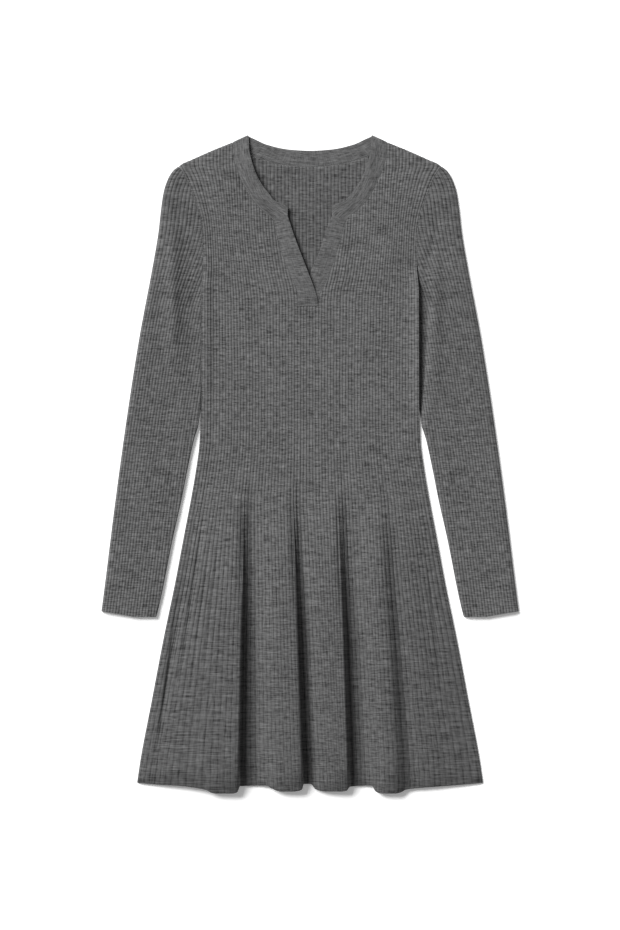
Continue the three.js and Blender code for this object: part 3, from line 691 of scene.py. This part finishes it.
# Sections up each side of the front, half a turn over at each shoulder, and along the back neck with
# the outward side down: seam and edge points follow the neck's two lines
def makeNeckband(material):
    frontSteps, foldSteps, backSteps = band["frontSteps"], band["foldSteps"], band["backSteps"]
    low = body["neckSeam"][0][1]
    high = body["backNeckSeam"][-1][1]
    share = 1 - np.cos(np.pi / 2 * np.linspace(0, 1, frontSteps + 1))
    level = np.full(frontSteps + 1, band["frontMiddle"])
    edgeX, edgeY = pathCurve(band["neckEdge"])(share)
    seamY = mixed(low, high, share)
    up = np.array([0, 0, 1.0])
    sides = {}
    for side in (-1, 1):
        seam = np.stack([side * (openingAt(side, seamY) + band["tuck"]), seamY, level], -1)
        lift = tableCurve(band["neckLiftLeft" if side < 0 else "neckLiftRight"])(share)
        edge = np.stack([side * edgeX, edgeY, level + lift], -1)
        sides[side] = (seam, edge, np.broadcast_to(up, seam.shape))
    turn = (band["frontMiddle"] - band["backMiddle"]) / 2
    foldMiddle = (band["frontMiddle"] + band["backMiddle"]) / 2
    folds = {}
    for side in (-1, 1):
        seam = np.array([side * body["backNeckSeam"][-1][0], high, foldMiddle])
        edge = np.array([side * band["backNeckEdge"][-1][0], band["backNeckEdge"][-1][1], foldMiddle])
        run = (edge - seam) / np.linalg.norm(edge - seam)
        beyond = -side * np.array([-run[1], run[0], 0])
        angle = (np.pi * np.arange(1, foldSteps) / foldSteps)[:, None]
        out = np.sin(angle) * beyond + np.cos(angle) * up
        folds[side] = (seam + turn * out, edge + turn * out, out)
    wholeSeam = [(-x, y) for x, y in body["backNeckSeam"][:0:-1]] + body["backNeckSeam"]
    wholeEdge = [(-x, y) for x, y in band["backNeckEdge"][:0:-1]] + band["backNeckEdge"]
    share = np.linspace(0, 1, backSteps + 1)
    level = np.full(backSteps + 1, band["backMiddle"])
    behind = (np.stack([*pathCurve(wholeSeam)(share), level], -1),
              np.stack([*pathCurve(wholeEdge)(share), level], -1),
              np.broadcast_to(-up, (backSteps + 1, 3)))
    order = [sides[-1], folds[-1], behind, tuple(a[::-1] for a in folds[1]), tuple(a[::-1] for a in sides[1])]
    seam, edge, out = (np.concatenate(parts) for parts in zip(*order))
    return stripObject("neckBand", seam, edge, out, band["thickness"], True, material)


# Sections from the notch's foot up to the neckband: the middle's height goes from the lap's to the
# free placket's, and the edge stands up by its own table
def makePlacket(name, side, edgeRows, footMiddle, material):
    share = (1 - np.cos(np.pi * np.linspace(0, 1, band["placketSteps"] + 1))) / 2
    free = smoothStep((share - band["lapEnd"]) / (band["lapFree"] - band["lapEnd"]))
    lift = mixed(footMiddle, band["placketMiddle"], free)
    stand = tableCurve(band["placketLiftLeft" if side < 0 else "placketLiftRight"])(share)
    seamY = mixed(footHeight - band["footReach"], body["neckSeam"][0][1] - band["topGap"], share)
    edgeY = mixed(footHeight - band["footReach"], edgeRows[-1][1], share)
    edgeAt = smoothCurve([y for _, y in edgeRows], [x for x, _ in edgeRows])
    seam = np.stack([side * (openingAt(side, seamY) + band["tuck"]), seamY, lift], -1)
    edge = np.stack([edgeAt(edgeY), edgeY, lift + stand], -1)
    out = np.broadcast_to([0, 0, 1.0], seam.shape)
    thickness = mixed(band["footThickness"], band["thickness"], free)[:, None]
    return stripObject(name, seam, edge, out, thickness, False, material)


# Knit finishes: matte grey melange yarn. Sizes are in millimetres, ramps are heights above the hem
yarn = {
    "rib": (0.111, 0.111, 0.1115),
    "sleeve": (0.103, 0.103, 0.1035),
    # The inside's colour is darker than the rib's: painted shade of the front lying over the back
    "inside": (0.096, 0.096, 0.0965),
    "band": (0.099, 0.099, 0.0995),
    "furrow": 0.64,        # painted shade: how much darker the furrows between the ribs are made
    "furrowAtHem": 0.42,
    "furrowRamp": (40, 330),
    "furrowPower": 4,      # the higher, the narrower the painted shade in the furrows
    "paintedShadeAtHem": 0.72,    # painted shade: the flared part is made darker towards the hem
    "paintedShadeRamp": (40, 560),
    "leastShade": 0.15,
    # Contrast of each pattern in the yarn's shade
    "streak": 0.76,
    "longStreak": 0.34,
    "dash": 0.42,
    "speck": 0.12,
    "cloud": 0.1,
    # Size across the ribs, size along them, and detail
    "streakSize": (9, 1.35, 1),
    "longStreakSize": (42, 3.4, 1),
    "dashSize": (1.2, 14, 1),
    "cloudSize": (38, 55, 2),
    "speckStep": (3.7, 4.3),   # how far apart neighbouring stitches read the noise
    "course": 1.5,
    "wale": 2.0,
    "bandWale": 1.3,
    "stitchSlant": 1.6,
    "streakRelief": 1.5,
    "bumpStrength": 0.35,
    "bumpDepth": 0.35,
    "roughness": 0.95,
    "specular": 0.15,
    "sheen": 0.08,
    "sheenRoughness": 0.6,
}


# Nodes of one material: add makes a node and returns its output, and the rest use it
class Nodes:
    def __init__(self, material):
        material.use_nodes = True
        self.tree = material.node_tree

    def add(self, kind, inputs=(), output=0, **settings):
        node = self.tree.nodes.new(kind)
        for key, value in settings.items():
            setattr(node, key, value)
        for slot, value in inputs:
            if isinstance(value, bpy.types.NodeSocket):
                self.tree.links.new(value, node.inputs[slot])
            else:
                node.inputs[slot].default_value = value
        return node.outputs[output]

    def math(self, operation, a, b=0.0):
        return self.add("ShaderNodeMath", [(0, a), (1, b)], operation=operation)

    def rampUp(self, value, start, end):
        return self.add("ShaderNodeMapRange", [("Value", value), ("From Min", start), ("From Max", end)],
                        interpolation_type="SMOOTHSTEP")

    def noise(self, u, v, detail):
        place = self.add("ShaderNodeCombineXYZ", [(0, u), (1, v)])
        return self.add("ShaderNodeTexNoise", [("Vector", place), ("Scale", 1.0), ("Detail", detail)],
                        noise_dimensions="2D")


# Colour times a shade: 1 with each pattern added by its contrast, less the painted shade in the furrows, and
# darker to the hem by painted shade
def knitMaterial(name, colour, ribbed):
    material = bpy.data.materials.new(name)
    nodes = Nodes(material)
    shader = material.node_tree.nodes["Principled BSDF"]
    shader.inputs["Roughness"].default_value = yarn["roughness"]
    shader.inputs["Specular IOR Level"].default_value = yarn["specular"]
    shader.inputs["Sheen Weight"].default_value = yarn["sheen"]
    shader.inputs["Sheen Roughness"].default_value = yarn["sheenRoughness"]
    cloth = nodes.add("ShaderNodeUVMap", uv_map="cloth")
    split = nodes.add("ShaderNodeSeparateXYZ", [(0, cloth)]).node
    u = nodes.math("DIVIDE", split.outputs[0], mm)
    v = nodes.math("DIVIDE", split.outputs[1], mm)
    wale = yarn["wale"] if ribbed else yarn["bandWale"]
    course = nodes.math("FLOOR", nodes.math("DIVIDE", v, yarn["course"]))
    column = nodes.math("FLOOR", nodes.math("DIVIDE", u, wale))

    def sizedNoise(key):
        across, along, detail = yarn[key]
        return nodes.noise(nodes.math("DIVIDE", u, across), nodes.math("DIVIDE", v, along), detail)

    # Streaks run along a course, dashes along a wale, and each stitch has its own shade
    streak = sizedNoise("streakSize")
    longStreak = sizedNoise("longStreakSize")
    dash = sizedNoise("dashSize")
    across, along = yarn["speckStep"]
    speck = nodes.noise(nodes.math("MULTIPLY", column, across), nodes.math("MULTIPLY", course, along), 0)
    cloud = sizedNoise("cloudSize")
    shade = 1.0
    for pattern, key in ((streak, "streak"), (longStreak, "longStreak"), (dash, "dash"), (speck, "speck"),
                         (cloud, "cloud")):
        centred = nodes.math("SUBTRACT", pattern, 0.5)
        shade = nodes.math("ADD", shade, nodes.math("MULTIPLY", centred, 2 * yarn[key]))
    inRib = nodes.math("FRACT", nodes.math("DIVIDE", u, knit["ribPitch"] if ribbed else wale))
    off = nodes.math("ABSOLUTE", nodes.math("SUBTRACT", inRib, 0.5))
    # Painted shade: the furrows between the ribs are darkened, less so near the hem, and the whole colour
    # darkens towards the hem
    if ribbed:
        furrow = nodes.math("POWER", nodes.math("MULTIPLY", off, 2), yarn["furrowPower"])
        deeperFurrowShade = nodes.math("MULTIPLY", nodes.rampUp(v, *yarn["furrowRamp"]),
                            yarn["furrow"] - yarn["furrowAtHem"])
        # Painted shade: the colour is darkest at the hem and reaches full brightness up the ramp
        paintedShadeLift = nodes.math("MULTIPLY", nodes.rampUp(v, *yarn["paintedShadeRamp"]), 1 - yarn["paintedShadeAtHem"])
        depth = nodes.math("ADD", yarn["furrowAtHem"], deeperFurrowShade)
        shade = nodes.math("SUBTRACT", shade, nodes.math("MULTIPLY", furrow, depth))
        shade = nodes.math("MULTIPLY", shade, nodes.math("ADD", yarn["paintedShadeAtHem"], paintedShadeLift))
    shade = nodes.math("MAXIMUM", shade, yarn["leastShade"])
    tint = nodes.add("ShaderNodeCombineXYZ", [(0, shade), (1, shade), (2, shade)])
    tinted = nodes.add("ShaderNodeVectorMath", [(0, tint), (1, colour)], operation="MULTIPLY")
    nodes.tree.links.new(tinted, shader.inputs["Base Color"])

    # Stitches are slanted loops that meet in a V on each rib, and on each wale of the bands
    slant = nodes.math("ADD", nodes.math("DIVIDE", v, yarn["course"]),
                       nodes.math("MULTIPLY", off, yarn["stitchSlant"]))
    loop = nodes.math("SINE", nodes.math("MULTIPLY", slant, 2 * np.pi))
    height = nodes.math("ADD", loop, nodes.math("MULTIPLY", streak, yarn["streakRelief"]))
    bump = nodes.add("ShaderNodeBump", [("Strength", yarn["bumpStrength"]),
                                        ("Distance", yarn["bumpDepth"] * mm), ("Height", height)])
    nodes.tree.links.new(bump, shader.inputs["Normal"])
    return material


ribKnit = knitMaterial("ribKnit", yarn["rib"], True)
sleeveKnit = knitMaterial("sleeveKnit", yarn["sleeve"], True)
# Painted shade: the back's inside gets a darker copy of the knit for the front's shadow over it
shadedInsideKnit = knitMaterial("shadedInsideKnit", yarn["inside"], True)
bandKnit = knitMaterial("bandKnit", yarn["band"], False)
print("finishes made")

# Each piece: object, CAD node, slot, flat cut in metres, area in square metres, what it lies on
pieces = [
    (makeFront(ribKnit), "front", "rib_knit", (0.53, 0.89), 0.30, ["back"]),
    (makeBack(shadedInsideKnit), "back", "rib_knit", (0.467, 0.861), 0.29, ["floor"]),
    (makeSleeve("leftSleeve", -1, sleeveKnit), "sleeve_left", "rib_knit", (0.21, 0.61), 0.098, ["floor"]),
    (makeSleeve("rightSleeve", 1, sleeveKnit), "sleeve_right", "rib_knit", (0.21, 0.61), 0.098, ["floor"]),
    (makeNeckband(bandKnit), "neckband", "band_knit", (0.021, 0.51), 0.0103, ["back"]),
    (makePlacket("rightPlacket", 1, band["rightPlacketEdge"], band["rightFoot"], bandKnit),
     "placket_right", "band_knit", (0.026, 0.125), 0.0031, ["back"]),
    (makePlacket("leftPlacket", -1, band["leftPlacketEdge"], band["leftFoot"], bandKnit),
     "placket_left", "band_knit", (0.027, 0.125), 0.0032, ["placket_right"]),
]
for piece, node, slot, cut, area, below in pieces:
    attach(piece, "root")
    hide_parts(node)
print("pieces made")

# Photograph's frame: 620 by 930 pixels at 1.35 mm each on the cloth, seen from straight above
view = {
    "pixel": 1.35,
    "rows": 930,
    "distance": 8000,
    "sensor": 24,
    "sun": 5.1,
    "sunAngle": 34,        # degrees, the wider the softer
    "sunFrom": (-0.75, 0.66, 0.85),
    "world": 0.24,
    "floor": (0.95, 0.95, 0.95),
    "floorRoughness": 0.9,
    "floorGlow": 0.17,     # keeps the shadow on the pale floor light
    "floorHalf": 4000,
    "floorDrop": 0.2,      # below the dress, so that the two never share a plane
}


# Camera whose lens fits the frame at its distance, a soft low sun, an even sky and a flat floor
def makeStage():
    camera = bpy.data.cameras.new("camera")
    camera.sensor_fit = "VERTICAL"
    camera.sensor_height = view["sensor"]
    camera.lens = view["sensor"] * view["distance"] / (view["pixel"] * view["rows"])
    cameraObject = bpy.data.objects.new("camera", camera)
    cameraObject.location = (0, 0, view["distance"] * mm)
    bpy.context.scene.collection.objects.link(cameraObject)
    bpy.context.scene.camera = cameraObject

    sun = bpy.data.lights.new("softSun", "SUN")
    sun.energy = view["sun"]
    sun.angle = np.radians(view["sunAngle"])
    sunObject = bpy.data.objects.new("softSun", sun)
    x, y, z = view["sunFrom"]
    sunObject.rotation_euler = (0, np.arctan2(np.hypot(x, y), z), np.arctan2(y, x))
    bpy.context.scene.collection.objects.link(sunObject)

    world = bpy.data.worlds.new("studio")
    world.use_nodes = True
    world.node_tree.nodes["Background"].inputs["Strength"].default_value = view["world"]
    world.node_tree.nodes["Background"].inputs["Color"].default_value = (1, 1, 1, 1)
    bpy.context.scene.world = world

    half = view["floorHalf"] * mm
    low = -view["floorDrop"] * mm
    mesh = bpy.data.meshes.new("floor")
    corners = [(-half, -half, low), (half, -half, low), (half, half, low), (-half, half, low)]
    mesh.from_pydata(corners, [], [(0, 1, 2, 3)])
    floor = bpy.data.objects.new("floor", mesh)
    bpy.context.scene.collection.objects.link(floor)
    paper = bpy.data.materials.new("paleFloor")
    paper.use_nodes = True
    paint = paper.node_tree.nodes["Principled BSDF"].inputs
    paint["Base Color"].default_value = (*view["floor"], 1)
    paint["Roughness"].default_value = view["floorRoughness"]
    paint["Specular IOR Level"].default_value = 0.0
    paint["Emission Color"].default_value = (1, 1, 1, 1)
    paint["Emission Strength"].default_value = view["floorGlow"]
    mesh.materials.append(paper)


makeStage()
bpy.context.scene.view_settings.view_transform = "Standard"
print("stage made")
